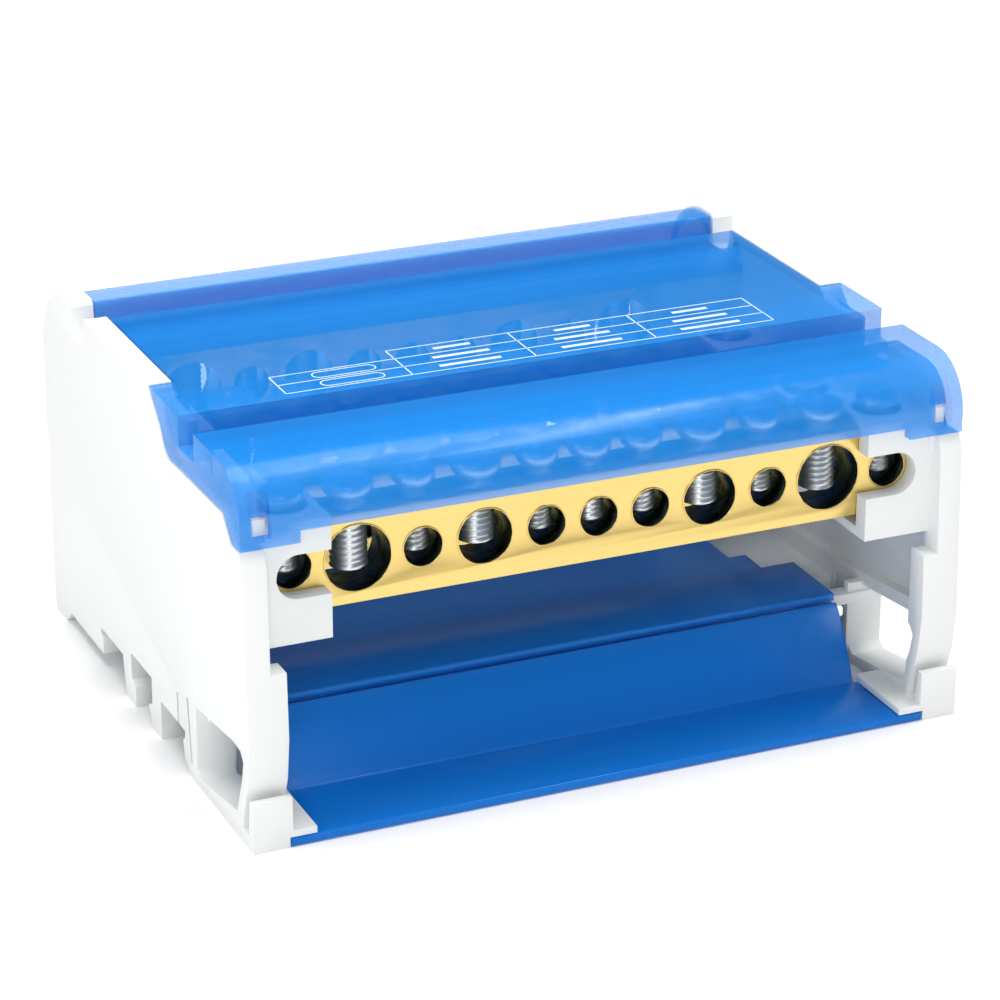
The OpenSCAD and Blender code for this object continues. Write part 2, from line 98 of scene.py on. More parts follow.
class FinishSettings(bpy.types.PropertyGroup):
    """Colours and edge radii of the moulded and machined pieces"""
    plate_colour: bpy.props.FloatVectorProperty(
        name="Plate colour", description="Colour of the grey side plates",
        default=(0.74, 0.755, 0.735), subtype="COLOR", min=0, max=1)
    plate_edge: bpy.props.FloatProperty(
        name="Plate edge", description="Edge radius of the side plates",
        default=0.25 * MM, unit="LENGTH", min=0)
    cover_edge: bpy.props.FloatProperty(
        name="Cover edge", description="Edge radius of the tinted covers",
        default=0.25 * MM, unit="LENGTH", min=0)
    tray_edge: bpy.props.FloatProperty(
        name="Tray edge", description="Edge radius of the trays and the deck",
        default=0.2 * MM, unit="LENGTH", min=0)
    bar_edge: bpy.props.FloatProperty(
        name="Bar edge", description="Break of the bars' edges",
        default=0.12 * MM, unit="LENGTH", min=0)
    cover_depth: bpy.props.FloatProperty(
        name="Cover tint", description="How fast the covers take red out of light, per metre",
        default=900.0, min=0)
    tray_depth: bpy.props.FloatProperty(
        name="Tray tint", description="How fast the trays take red out of light, per metre",
        default=1500.0, min=0)
    brass_colour: bpy.props.FloatVectorProperty(
        name="Brass colour", description="Colour of freshly milled brass",
        default=(0.6, 0.33, 0.06), subtype="COLOR", min=0, max=1)
    steel_colour: bpy.props.FloatVectorProperty(
        name="Screw colour", description="Colour of the zinc plated screws",
        default=(0.88, 0.89, 0.88), subtype="COLOR", min=0, max=1)


class ScrewSettings(bpy.types.PropertyGroup):
    """Thread and recess of the clamp screws"""
    small_pitch: bpy.props.FloatProperty(
        name="Small pitch", description="Thread pitch of the small screws",
        default=0.7 * MM, unit="LENGTH", min=0.1 * MM)
    large_pitch: bpy.props.FloatProperty(
        name="Large pitch", description="Thread pitch of the larger screws",
        default=0.8 * MM, unit="LENGTH", min=0.1 * MM)
    thread_share: bpy.props.FloatProperty(
        name="Thread depth", description="Depth of the thread as a share of its pitch",
        default=0.5, min=0.1, max=0.7)
    recess_depth: bpy.props.FloatProperty(
        name="Recess depth", description="Depth of the cross recess in a head",
        default=1.4 * MM, unit="LENGTH", min=0)
    seed: bpy.props.IntProperty(
        name="Seed", description="Picks how far each screw is turned", default=4, min=0)


class TableSettings(bpy.types.PropertyGroup):
    """The blank table printed on the centre panel"""
    left: bpy.props.FloatProperty(
        name="Left", description="Left end of the table", default=-35 * MM, unit="LENGTH")
    right: bpy.props.FloatProperty(
        name="Right", description="Right end of the table", default=34.4 * MM, unit="LENGTH")
    front: bpy.props.FloatProperty(
        name="Front", description="Front line of the table", default=-15.5 * MM, unit="LENGTH")
    row: bpy.props.FloatProperty(
        name="Row", description="Depth of a row", default=3.15 * MM, unit="LENGTH", min=MM)
    rows: bpy.props.IntProperty(name="Rows", description="Number of rows", default=3, min=2, max=3)
    columns: bpy.props.IntProperty(name="Columns", description="Number of columns", default=4, min=2)
    lift: bpy.props.FloatProperty(
        name="Lift", description="Height of the ink above the strip under the hinges",
        default=4.31 * MM, unit="LENGTH")
    line_width: bpy.props.FloatProperty(
        name="Line width", description="Width of the table's lines", default=0.2 * MM, unit="LENGTH")
    dash_width: bpy.props.FloatProperty(
        name="Dash width", description="Width of the dashes in the cells", default=0.75 * MM, unit="LENGTH")


class StageSettings(bpy.types.PropertyGroup):
    """Camera and studio"""
    camera_place: bpy.props.FloatVectorProperty(
        name="Camera place", description="Where the camera stands",
        default=(-0.18225, -0.41667, 0.21309), subtype="TRANSLATION", unit="LENGTH")
    azimuth: bpy.props.FloatProperty(
        name="Azimuth", description="Turn of the view about the vertical",
        default=math.radians(23.783), subtype="ANGLE")
    elevation: bpy.props.FloatProperty(
        name="Elevation", description="How far the view looks down",
        default=math.radians(22.602), subtype="ANGLE")
    roll: bpy.props.FloatProperty(
        name="Roll", description="Turn of the view about its own axis",
        default=math.radians(0.1), subtype="ANGLE")
    lens: bpy.props.FloatProperty(
        name="Lens", description="Focal length in millimetres on a 36 mm wide sensor",
        default=130.16, min=10)
    floor_colour: bpy.props.FloatVectorProperty(
        name="Floor colour", description="Colour of the studio floor",
        default=(0.93, 0.93, 0.93), subtype="COLOR", min=0, max=1)


def settings(name):
    """The settings group of that name"""
    return getattr(bpy.context.scene, "block_" + name)


# ---------------------------------------------------------------- node helpers

def feed(tree, socket, value):
    """Links a socket to another one, or sets its value"""
    if isinstance(value, bpy.types.NodeSocket):
        tree.links.new(value, socket)
    else:
        socket.default_value = value


def add_node(tree, kind, values=None, **inputs):
    """A new node; inputs are named by socket, with _ for a space, and take a value or a socket"""
    made = tree.nodes.new(kind)
    for name, value in (values or {}).items():
        setattr(made, name, value)
    for name, value in inputs.items():
        feed(tree, made.inputs[name.replace("_", " ")], value)
    return made


def maths(tree, operation, first, second):
    """What a Math node gives for two values or sockets"""
    made = tree.nodes.new("ShaderNodeMath")
    made.operation = operation
    for socket, value in zip(made.inputs, (first, second)):
        feed(tree, socket, value)
    return made.outputs[0]


def mix_colours(tree, factor, first, second):
    """What a Mix node gives for two colours"""
    made = tree.nodes.new("ShaderNodeMix")
    made.data_type = "RGBA"
    for number, value in ((0, factor), (6, first), (7, second)):
        feed(tree, made.inputs[number], value)
    return made.outputs[2]


def remap(tree, value, low, high, new_low, new_high):
    """Stretches a value from one range to another, and keeps it inside"""
    made = add_node(tree, "ShaderNodeMapRange", {"clamp": True}, Value=value)
    for name, number in (("From Min", low), ("From Max", high), ("To Min", new_low), ("To Max", new_high)):
        made.inputs[name].default_value = number
    return made.outputs[0]


def object_place(tree):
    """The place of a point in its piece's own coordinates"""
    return tree.nodes.new("ShaderNodeTexCoord").outputs["Object"]


def scaled(tree, place, scale):
    """A place stretched along each axis"""
    return add_node(tree, "ShaderNodeMapping", Vector=place, Scale=scale).outputs[0]


def shader_group(name, inputs, outputs):
    """An empty shader group with its sockets, and its input and output nodes"""
    tree = bpy.data.node_groups.new(name, "ShaderNodeTree")
    for label, kind, default in inputs:
        socket = tree.interface.new_socket(label, in_out="INPUT", socket_type=kind)
        if default is not None:
            socket.default_value = default
    for label, kind in outputs:
        tree.interface.new_socket(label, in_out="OUTPUT", socket_type=kind)
    return tree, tree.nodes.new("NodeGroupInput"), tree.nodes.new("NodeGroupOutput")


def moulded_grain_group():
    """Fine grain, soft unevenness and handling marks of moulded plastic"""
    tree, given, out = shader_group(
        "moulded_grain",
        [("Grain size", "NodeSocketFloat", 2500.0), ("Mark size", "NodeSocketFloat", 90.0),
         ("Roughness", "NodeSocketFloat", 0.4), ("Spread", "NodeSocketFloat", 0.1)],
        [("Roughness", "NodeSocketFloat"), ("Height", "NodeSocketFloat"), ("Marks", "NodeSocketFloat")])
    place = object_place(tree)
    grain = add_node(tree, "ShaderNodeTexNoise", Vector=place, Scale=given.outputs["Grain size"],
                     Detail=3.0, Roughness=0.6)
    marks = add_node(tree, "ShaderNodeTexNoise", Vector=place, Scale=given.outputs["Mark size"],
                     Detail=5.0, Roughness=0.65, Distortion=0.4)
    soft = remap(tree, marks.outputs[0], 0.35, 0.7, -1.0, 1.0)
    uneven = maths(tree, "MULTIPLY", soft, given.outputs["Spread"])
    tree.links.new(maths(tree, "ADD", given.outputs["Roughness"], uneven), out.inputs["Roughness"])
    tree.links.new(grain.outputs[0], out.inputs["Height"])
    tree.links.new(remap(tree, marks.outputs[0], 0.5, 0.75, 0.0, 1.0), out.inputs["Marks"])
    return tree


def tool_lines_group():
    """Lines that a drawing die or a cutter leaves along a metal surface"""
    tree, given, out = shader_group(
        "tool_lines",
        [("Stretch", "NodeSocketVector", (40.0, 1500.0, 1500.0)),
         ("Turn", "NodeSocketVector", (0.0, 0.0, 0.0)), ("Strength", "NodeSocketFloat", 1.0)],
        [("Height", "NodeSocketFloat"), ("Mask", "NodeSocketFloat")])
    mapped = add_node(tree, "ShaderNodeMapping", Vector=object_place(tree),
                      Scale=given.outputs["Stretch"], Rotation=given.outputs["Turn"]).outputs[0]
    fine = add_node(tree, "ShaderNodeTexNoise", Vector=mapped, Scale=1.0, Detail=4.0, Roughness=0.7,
                    Distortion=0.6)
    sharp = remap(tree, fine.outputs[0], 0.52, 0.68, 0.0, 1.0)
    tree.links.new(maths(tree, "MULTIPLY", fine.outputs[0], given.outputs["Strength"]), out.inputs["Height"])
    tree.links.new(maths(tree, "MULTIPLY", sharp, given.outputs["Strength"]), out.inputs["Mask"])
    return tree


def shared(name, maker):
    """The node group of that name, built when it is first asked for"""
    return bpy.data.node_groups.get(name) or maker()


def place_group(tree, name, maker, **inputs):
    """Places a shared group in a material with its own values"""
    made = tree.nodes.new("ShaderNodeGroup")
    made.node_tree = shared(name, maker)
    for label, value in inputs.items():
        made.inputs[label.replace("_", " ")].default_value = value
    return made


# ---------------------------------------------------------------- materials

def new_material(name):
    """A material with its tree, its shader and its output"""
    made = bpy.data.materials.new(name)
    made.use_nodes = True
    tree = made.node_tree
    return made, tree, tree.nodes["Principled BSDF"], tree.nodes["Material Output"]


def grey_plastic():
    """Light grey moulded plastic with a fine matt grain"""
    made, tree, shader, _ = new_material("grey_plastic")
    colour = (*settings("finish").plate_colour, 1)
    grain = place_group(tree, "moulded_grain", moulded_grain_group,
                        Grain_size=2600.0, Mark_size=60.0, Roughness=0.42, Spread=0.07)
    dusty = tuple(0.93 * channel for channel in colour[:3]) + (1,)
    base = mix_colours(tree, grain.outputs["Marks"], colour, dusty)
    tree.links.new(base, shader.inputs["Base Color"])
    tree.links.new(grain.outputs["Roughness"], shader.inputs["Roughness"])
    bump = add_node(tree, "ShaderNodeBump", Height=grain.outputs["Height"], Strength=0.12, Distance=0.05 * MM)
    tree.links.new(bump.outputs[0], shader.inputs["Normal"])
    shader.inputs["IOR"].default_value = 1.5
    return made


def tinted_plastic(name, red, green, blue, roughness, skin):
    """Clear plastic that takes red, then green out of light with depth, and lets lamps through"""
    made, tree, shader, output = new_material(name)
    shader.inputs["Base Color"].default_value = (*skin, 1)
    shader.inputs["Specular IOR Level"].default_value = 0.45
    shader.inputs["Transmission Weight"].default_value = 1.0
    shader.inputs["IOR"].default_value = 1.49
    grain = place_group(tree, "moulded_grain", moulded_grain_group,
                        Grain_size=1800.0, Mark_size=120.0, Roughness=roughness, Spread=0.02)
    tree.links.new(grain.outputs["Roughness"], shader.inputs["Roughness"])
    waves = add_node(tree, "ShaderNodeTexNoise", Vector=scaled(tree, object_place(tree), (60, 220, 220)),
                     Scale=1.0, Detail=2.0)
    bump = add_node(tree, "ShaderNodeBump", Height=waves.outputs[0], Strength=0.2, Distance=0.05 * MM)
    tree.links.new(bump.outputs[0], shader.inputs["Normal"])
    passed = tuple(math.sqrt(channel) for channel in skin) + (1,)
    clear = add_node(tree, "ShaderNodeBsdfTransparent", Color=passed)
    path = tree.nodes.new("ShaderNodeLightPath")
    mixed = tree.nodes.new("ShaderNodeMixShader")
    tree.links.new(path.outputs["Is Shadow Ray"], mixed.inputs[0])
    tree.links.new(shader.outputs[0], mixed.inputs[1])
    tree.links.new(clear.outputs[0], mixed.inputs[2])
    tree.links.new(mixed.outputs[0], output.inputs["Surface"])
    tint = (0, 1 - green / red, 1 - blue / red, 1)
    depth = add_node(tree, "ShaderNodeVolumeAbsorption", Color=tint, Density=red)
    tree.links.new(depth.outputs[0], output.inputs["Volume"])
    return made


def cover_plastic():
    """Clear azure plastic of the covers"""
    red = settings("finish").cover_depth
    return tinted_plastic("clear_blue", red, green=0.22 * red, blue=0.01 * red, roughness=0.015,
                          skin=(0.02, 0.58, 1.0))


def tray_plastic():
    """Deeper blue plastic of the trays, the deck and the strip under the hinges"""
    red = settings("finish").tray_depth
    return tinted_plastic("tray_blue", red, green=0.28 * red, blue=0.01 * red, roughness=0.04,
                          skin=(0.01, 0.42, 1.0))


def brass():
    """Milled brass with long drawing lines and darker scratches"""
    made, tree, shader, _ = new_material("brass")
    colour = (*settings("finish").brass_colour, 1)
    dark = (0.45 * colour[0], 0.42 * colour[1], 0.4 * colour[2], 1)
    lines = place_group(tree, "tool_lines", tool_lines_group,
                        Stretch=(90.0, 900.0, 900.0), Turn=(0.0, math.radians(8), 0.0), Strength=1.0)
    tarnish = add_node(tree, "ShaderNodeTexNoise", Vector=object_place(tree), Scale=700.0, Detail=6.0)
    fleck = remap(tree, tarnish.outputs[0], 0.58, 0.72, 0.0, 0.35)
    lined = mix_colours(tree, maths(tree, "MULTIPLY", lines.outputs["Mask"], 0.8), colour, dark)
    tree.links.new(mix_colours(tree, fleck, lined, dark), shader.inputs["Base Color"])
    shader.inputs["Metallic"].default_value = 1.0
    tree.links.new(remap(tree, lines.outputs["Height"], 0.3, 0.7, 0.26, 0.46), shader.inputs["Roughness"])
    bump = add_node(tree, "ShaderNodeBump", Height=lines.outputs["Height"], Strength=0.35, Distance=0.06 * MM)
    tree.links.new(bump.outputs[0], shader.inputs["Normal"])
    return made


def bore_brass():
    """Drilled brass with painted shade in the bores, streaked round by the drill"""
    made, tree, shader, _ = new_material("bore_brass")
    lines = place_group(tree, "tool_lines", tool_lines_group, Stretch=(300.0, 3500.0, 300.0), Strength=1.0)
    # painted shade: dark teal and dark brown stand in for the shade and blue gloom deep inside the bores
    base = mix_colours(tree, lines.outputs["Mask"], (0.05, 0.1, 0.1, 1), (0.3, 0.2, 0.07, 1))
    tree.links.new(base, shader.inputs["Base Color"])
    shader.inputs["Metallic"].default_value = 1.0
    tree.links.new(remap(tree, lines.outputs["Height"], 0.3, 0.7, 0.2, 0.4), shader.inputs["Roughness"])
    return made


def screw_steel():
    """Bright zinc plate with fine turning lines"""
    made, tree, shader, _ = new_material("screw_steel")
    colour = (*settings("finish").steel_colour, 1)
    warm = (0.8 * colour[0], 0.72 * colour[1], 0.55 * colour[2], 1)
    lines = place_group(tree, "tool_lines", tool_lines_group,
                        Stretch=(500.0, 500.0, 4000.0), Strength=1.0)
    patch = add_node(tree, "ShaderNodeTexNoise", Vector=object_place(tree), Scale=900.0, Detail=3.0)
    base = mix_colours(tree, remap(tree, patch.outputs[0], 0.45, 0.7, 0.0, 0.5), colour, warm)
    tree.links.new(base, shader.inputs["Base Color"])
    shader.inputs["Metallic"].default_value = 1.0
    tree.links.new(remap(tree, lines.outputs["Height"], 0.3, 0.7, 0.14, 0.3), shader.inputs["Roughness"])
    return made


def print_ink():
    """Pale screen print"""
    made, tree, shader, _ = new_material("print_ink")
    grain = place_group(tree, "moulded_grain", moulded_grain_group,
                        Grain_size=3000.0, Mark_size=300.0, Roughness=0.55, Spread=0.1)
    thin = mix_colours(tree, grain.outputs["Marks"], (0.72, 0.8, 0.92, 1), (0.5, 0.62, 0.85, 1))
    tree.links.new(thin, shader.inputs["Base Color"])
    tree.links.new(grain.outputs["Roughness"], shader.inputs["Roughness"])
    return made


def material(name):
    """The material of that name, made when it is first asked for"""
    makers = {"grey_plastic": grey_plastic, "clear_blue": cover_plastic, "tray_blue": tray_plastic,
              "brass": brass, "bore_brass": bore_brass, "screw_steel": screw_steel,
              "print_ink": print_ink}
    return bpy.data.materials.get(name) or makers[name]()


# ---------------------------------------------------------------- mesh helpers

def link_mesh(name, mesh):
    """A new object in the scene that holds a mesh"""
    made = bpy.data.objects.new(name, mesh)
    bpy.context.scene.collection.objects.link(made)
    return made


def evaluated_copy(source, name):
    """A plain mesh object made from what the source's modifiers give"""
    graph = bpy.context.evaluated_depsgraph_get()
    mesh = bpy.data.meshes.new_from_object(source.evaluated_get(graph), depsgraph=graph)
    mesh.name = name
    made = link_mesh(name, mesh)
    bpy.data.objects.remove(source)
    return made


def softened(node_name, piece_name, edge):
    """A copy of a CAD node with its doubles merged and its edges rounded"""
    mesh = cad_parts[node_name].data.copy()
    work = bmesh.new()
    work.from_mesh(mesh)
    bmesh.ops.remove_doubles(work, verts=work.verts, dist=MERGE_DISTANCE)
    bmesh.ops.dissolve_limit(work, angle_limit=FLAT_ANGLE, verts=work.verts, edges=work.edges)
    work.to_mesh(mesh)
    work.free()
    mesh.materials.clear()
    source = link_mesh(piece_name + "_source", mesh)
    bevel = source.modifiers.new("edges", "BEVEL")
    bevel.width = edge
    bevel.segments = BEVEL_SEGMENTS
    bevel.limit_method = "ANGLE"
    bevel.angle_limit = BEVEL_ANGLE
    bevel.use_clamp_overlap = True
    made = evaluated_copy(source, piece_name)
    made.data.shade_smooth()
    made.data.set_sharp_from_angle(angle=SHARP_ANGLE)
    return made


def dress(piece, material_name, body, *nodes):
    """Gives a finished piece its material and its body, and hides the CAD nodes that it stands for"""
    piece.data.materials.clear()
    piece.data.materials.append(material(material_name))
    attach(piece, body)
    if nodes:
        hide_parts(*nodes)
    return piece


def geometry_group(name, inputs):
    """A Geometry Nodes group with its sockets, and its input and output nodes"""
    tree = bpy.data.node_groups.new(name, "GeometryNodeTree")
    tree.is_modifier = True
    for label, kind in (("Geometry", "NodeSocketGeometry"), *inputs, ("Finish", "NodeSocketMaterial")):
        tree.interface.new_socket(label, in_out="INPUT", socket_type=kind)
    tree.interface.new_socket("Geometry", in_out="OUTPUT", socket_type="NodeSocketGeometry")
    return tree, tree.nodes.new("NodeGroupInput"), tree.nodes.new("NodeGroupOutput")


def give_finish(tree, given, out, geometry):
    """Ends a Geometry Nodes group by setting its material"""
    finish = add_node(tree, "GeometryNodeSetMaterial", Geometry=geometry, Material=given.outputs["Finish"])
    tree.links.new(finish.outputs[0], out.inputs[0])


def set_inputs(modifier, **values):
    """Sets a Geometry Nodes modifier's inputs by their identifiers"""
    sockets = {item.name.replace(" ", "_"): item.identifier
               for item in modifier.node_group.interface.items_tree
               if item.item_type == "SOCKET" and item.in_out == "INPUT"}
    for label, value in values.items():
        modifier[sockets[label]] = value


def grown(mesh, tree, name, **inputs):
    """The plain mesh object that a Geometry Nodes group makes from a mesh"""
    source = link_mesh(name + "_source", mesh)
    modifier = source.modifiers.new("nodes", "NODES")
    modifier.node_group = tree
    set_inputs(modifier, **inputs)
    return evaluated_copy(source, name)


# ---------------------------------------------------------------- screws

def thread_rings(radius, pitch, depth, low, high):
    """Rings of a helical thread between two heights, as lists of points, from the bottom up"""
    count = max(2, int(round((high - low) / pitch * STEPS_PER_TURN)))
    rings = []
    for step in range(count + 1):
        ring = []
        for k in range(SCREW_SIDES):
            angle = 2 * math.pi * k / SCREW_SIDES
            turn = (step / STEPS_PER_TURN - k / SCREW_SIDES) % 1.0
            crest = 1 - abs(2 * turn - 1)
            fade = min(1.0, step / STEPS_PER_TURN)
            r = radius - depth * (1 - crest) * (0.35 + 0.65 * fade)
            ring.append((r * math.cos(angle), r * math.sin(angle), low + (high - low) * step / count))
        rings.append(ring)
    return rings


def circle_ring(radius, z):
    """Points round a circle at one height"""
    angles = [2 * math.pi * k / SCREW_SIDES for k in range(SCREW_SIDES)]
    return [(radius * math.cos(angle), radius * math.sin(angle), z) for angle in angles]


def screw_mesh(name, radius, head_radius, tip_z, head_z, pitch):
    """Clamp screw with a chamfered tip, a helical thread, a cone under its head and a cross recess"""
    given = settings("screws")
    depth = pitch * given.thread_share
    rings = [circle_ring(radius * 0.45, tip_z), circle_ring(radius * 0.7, tip_z + 0.02 * MM),
             circle_ring(radius - depth, tip_z + 0.35 * MM)]
    rings += thread_rings(radius, pitch, depth, tip_z + 0.4 * MM, head_z - 0.1 * MM)
    rings.append(circle_ring(radius * 0.92, head_z))
    rings += [circle_ring(head_radius * wide, head_z + HEAD_HEIGHT * high) for wide, high in HEAD_PROFILE]
    work = bmesh.new()
    rows = [[work.verts.new(point) for point in ring] for ring in rings]
    for low, high in zip(rows, rows[1:]):
        for k in range(SCREW_SIDES):
            after = (k + 1) % SCREW_SIDES
            work.faces.new((low[k], low[after], high[after], high[k]))
    work.faces.new(reversed(rows[0]))
    recess_top(work, rows[-1], head_radius * RECESS_REACH, head_radius * RECESS_HALF_WIDTH,
               head_z + HEAD_HEIGHT, given.recess_depth)
    mesh = bpy.data.meshes.new(name)
    bmesh.ops.recalc_face_normals(work, faces=work.faces)
    work.to_mesh(mesh)
    work.free()
    mesh.shade_smooth()
    mesh.set_sharp_from_angle(angle=math.radians(50))
    return mesh


def cross_points(reach, half, z):
    """Corners of a cross, counter-clockwise from its right arm"""
    quarter = [(reach, -half), (reach, half), (half, half)]
    points = []
    for k in range(4):
        c, s = round(math.cos(k * math.pi / 2)), round(math.sin(k * math.pi / 2))
        points += [(x * c - y * s, x * s + y * c, z) for x, y in quarter]
    return points


def recess_top(work, rim, reach, half, z, depth):
    """Closes a head with a flat face round a cross recess"""
    edge = [work.verts.new(point) for point in cross_points(reach, half, z)]
    floor = [work.verts.new(point) for point in cross_points(reach * 0.45, half * 0.8, z - depth)]
    loops = []
    for ring in (rim, edge):
        for k, vert in enumerate(ring):
            pair = (vert, ring[(k + 1) % len(ring)])
            loops.append(work.edges.get(pair) or work.edges.new(pair))
    bmesh.ops.triangle_fill(work, edges=loops, use_beauty=True)
    for k in range(len(edge)):
        after = (k + 1) % len(edge)
        work.faces.new((edge[k], edge[after], floor[after], floor[k]))
    work.faces.new(floor)


def screw_row_tree():
    """Sets one screw on each point, turned by chance"""
    tree, given, out = geometry_group("screw_row", [("Screw", "NodeSocketObject"), ("Seed", "NodeSocketInt")])
    screw = add_node(tree, "GeometryNodeObjectInfo", Object=given.outputs["Screw"])
    turn = add_node(tree, "FunctionNodeRandomValue", {"data_type": "FLOAT"}, Seed=given.outputs["Seed"])
    turn.inputs["Min"].default_value = 0.0
    turn.inputs["Max"].default_value = 2 * math.pi
    spin = add_node(tree, "ShaderNodeCombineXYZ", Z=turn.outputs["Value"])
    placed = add_node(tree, "GeometryNodeInstanceOnPoints", Points=given.outputs["Geometry"],
                      Instance=screw.outputs["Geometry"], Rotation=spin.outputs[0])
    real = add_node(tree, "GeometryNodeRealizeInstances", Geometry=placed.outputs[0])
    give_finish(tree, given, out, real.outputs[0])
    return tree


def islands(node_name):
    """Centre line place and height range of each solid in a CAD node, from left to right"""
    work = bmesh.new()
    work.from_mesh(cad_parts[node_name].data)
    bmesh.ops.remove_doubles(work, verts=work.verts, dist=MERGE_DISTANCE)
    seen, found = set(), []
    for vert in work.verts:
        if vert in seen:
            continue
        stack, group = [vert], []
        seen.add(vert)
        while stack:
            here = stack.pop()
            group.append(here.co.copy())
            for edge in here.link_edges:
                other = edge.other_vert(here)
                if other not in seen:
                    seen.add(other)
                    stack.append(other)
        low = Vector(min(point[k] for point in group) for k in range(3))
        high = Vector(max(point[k] for point in group) for k in range(3))
        found.append((low, high))
    work.free()
    return sorted(found, key=lambda box: box[0].x)


def screw_set(bar_name, size):
    """The screws of one size on a bar, one for each solid of their CAD node"""
    given = settings("screws")
    node_name = f"{bar_name}_{size}_screws"
    boxes = islands(node_name)
    low, high = boxes[0]
    bar_low, bar_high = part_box(bar_name)
    centre_y = (bar_low.y + bar_high.y) / 2
    centre_z = (bar_low.z + bar_high.z) / 2
    pitch = given.small_pitch if size == "small" else given.large_pitch
    mesh = screw_mesh(node_name + "_one", SHANK_RADII[size], (high.x - low.x) / 2,
                      low.z - centre_z, high.z - HEAD_HEIGHT - centre_z, pitch)
    one = link_mesh(node_name + "_one", mesh)
    points = bpy.data.meshes.new(node_name + "_places")
    points.from_pydata([((a.x + b.x) / 2, centre_y, centre_z) for a, b in boxes], [], [])
    piece = grown(points, shared("screw_row", screw_row_tree), node_name.replace("_screws", "_screw_set"),
                  Screw=one, Finish=material("screw_steel"), Seed=given.seed + len(node_name))
    bpy.data.objects.remove(one)
    dress(piece, "screw_steel", HOUSING, node_name)


class BLOCK_OT_screws(bpy.types.Operator):
    """Makes the clamp screws of every bar"""
    bl_idname = "block.screws"
    bl_label = "Clamp screws"

    def execute(self, context):
        for bar_name in BARS:
            for size in WAY_SIZES:
                screw_set(bar_name, size)
        return {"FINISHED"}


# ---------------------------------------------------------------- moulded and machined pieces

class BLOCK_OT_side_plates(bpy.types.Operator):
    """Makes the two grey side plates"""
    bl_idname = "block.side_plates"
    bl_label = "Side plates"

    def execute(self, context):
        for side in ("left", "right"):
            node_name = side + "_side_plate"
            piece = softened(node_name, side + "_plate_moulding", settings("finish").plate_edge)
            dress(piece, "grey_plastic", HOUSING, node_name)
        return {"FINISHED"}


class BLOCK_OT_covers(bpy.types.Operator):
    """Makes the tinted covers and the strip between them"""
    bl_idname = "block.covers"
    bl_label = "Covers"

    def execute(self, context):
        edge = settings("finish").cover_edge
        for node_name, body in (("front_cover", FRONT_COVER), ("rear_cover", REAR_COVER),
                                ("hinge_bridge", HOUSING)):
            piece = softened(node_name, node_name + "_moulding", edge)
            slot_name = "tray_blue" if node_name == "hinge_bridge" else "clear_blue"
            dress(piece, slot_name, body, node_name)
        return {"FINISHED"}


class BLOCK_OT_trays(bpy.types.Operator):
    """Makes the folded trays and the deck"""
    bl_idname = "block.trays"
    bl_label = "Trays and deck"

    def execute(self, context):
        for node_name in ("front_tray", "rear_tray", "rail_deck"):
            piece = softened(node_name, node_name + "_sheet", settings("finish").tray_edge)
            dress(piece, "tray_blue", HOUSING, node_name)
        return {"FINISHED"}


def paint_bore_shade(piece, node_name):
    """Gives the walls of a bar's bores the finish with painted shade"""
    piece.data.materials.append(material("bore_brass"))
    low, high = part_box(node_name)
    skin = 0.3 * MM
    for face in piece.data.polygons:
        inside = all(low[k] + skin < face.center[k] < high[k] - skin for k in (0, 2))
        upright = abs(face.normal.y) < 0.35 and low.y + skin / 2 < face.center.y < high.y - skin / 2
        face.material_index = 1 if inside and upright else 0


def burr_tree():
    """Sets a ragged ring of metal round each cable hole"""
    tree, given, out = geometry_group(
        "hole_burrs", [("Hole radius", "NodeSocketFloat"), ("Wire radius", "NodeSocketFloat"),
                       ("Raggedness", "NodeSocketFloat")])
    ring = add_node(tree, "GeometryNodeCurvePrimitiveCircle", Resolution=72,
                    Radius=given.outputs["Hole radius"])
    wire = add_node(tree, "GeometryNodeCurvePrimitiveCircle", Resolution=6,
                    Radius=given.outputs["Wire radius"])
    tube = add_node(tree, "GeometryNodeCurveToMesh", Curve=ring.outputs[0], Profile_Curve=wire.outputs[0])
    upright = add_node(tree, "FunctionNodeInputVector", {"vector": (math.pi / 2, 0.0, 0.0)})
    placed = add_node(tree, "GeometryNodeInstanceOnPoints", Points=given.outputs["Geometry"],
                      Instance=tube.outputs[0], Rotation=upright.outputs[0])
    real = add_node(tree, "GeometryNodeRealizeInstances", Geometry=placed.outputs[0])
    place = tree.nodes.new("GeometryNodeInputPosition")
    rough = add_node(tree, "ShaderNodeTexNoise", Vector=place.outputs[0], Scale=900.0, Detail=3.0)
    centred = add_node(tree, "ShaderNodeVectorMath", {"operation": "SUBTRACT"})
    tree.links.new(rough.outputs["Color"], centred.inputs[0])
    centred.inputs[1].default_value = (0.5, 0.5, 0.5)
    ragged = add_node(tree, "ShaderNodeVectorMath", {"operation": "SCALE"}, Scale=given.outputs["Raggedness"])
    tree.links.new(centred.outputs[0], ragged.inputs[0])
    moved = add_node(tree, "GeometryNodeSetPosition", Geometry=real.outputs[0], Offset=ragged.outputs[0])
    give_finish(tree, given, out, moved.outputs[0])
    return tree


def bar_burrs(node_name):
    """One mesh with the burrs of all the holes on a bar's outward face"""
    low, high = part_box(node_name)
    face_y = low.y if low.y < 0 else high.y
    centre_z = (low.z + high.z) / 2
    rings = []
    for size in WAY_SIZES:
        boxes = islands(f"{node_name}_{size}_screws")
        places = [((a.x + b.x) / 2, face_y, centre_z) for a, b in boxes]
        mesh = bpy.data.meshes.new(f"{node_name}_{size}_burrs")
        mesh.from_pydata(places, [], [])
        rings.append(grown(mesh, shared("hole_burrs", burr_tree), mesh.name + "_grown",
                           Hole_radius=HOLE_RADII[size] + BURR_OFFSET, Wire_radius=BURR_RADIUS,
                           Raggedness=BURR_RAGGEDNESS, Finish=material("brass")))
    return joined(rings, node_name + "_burrs")


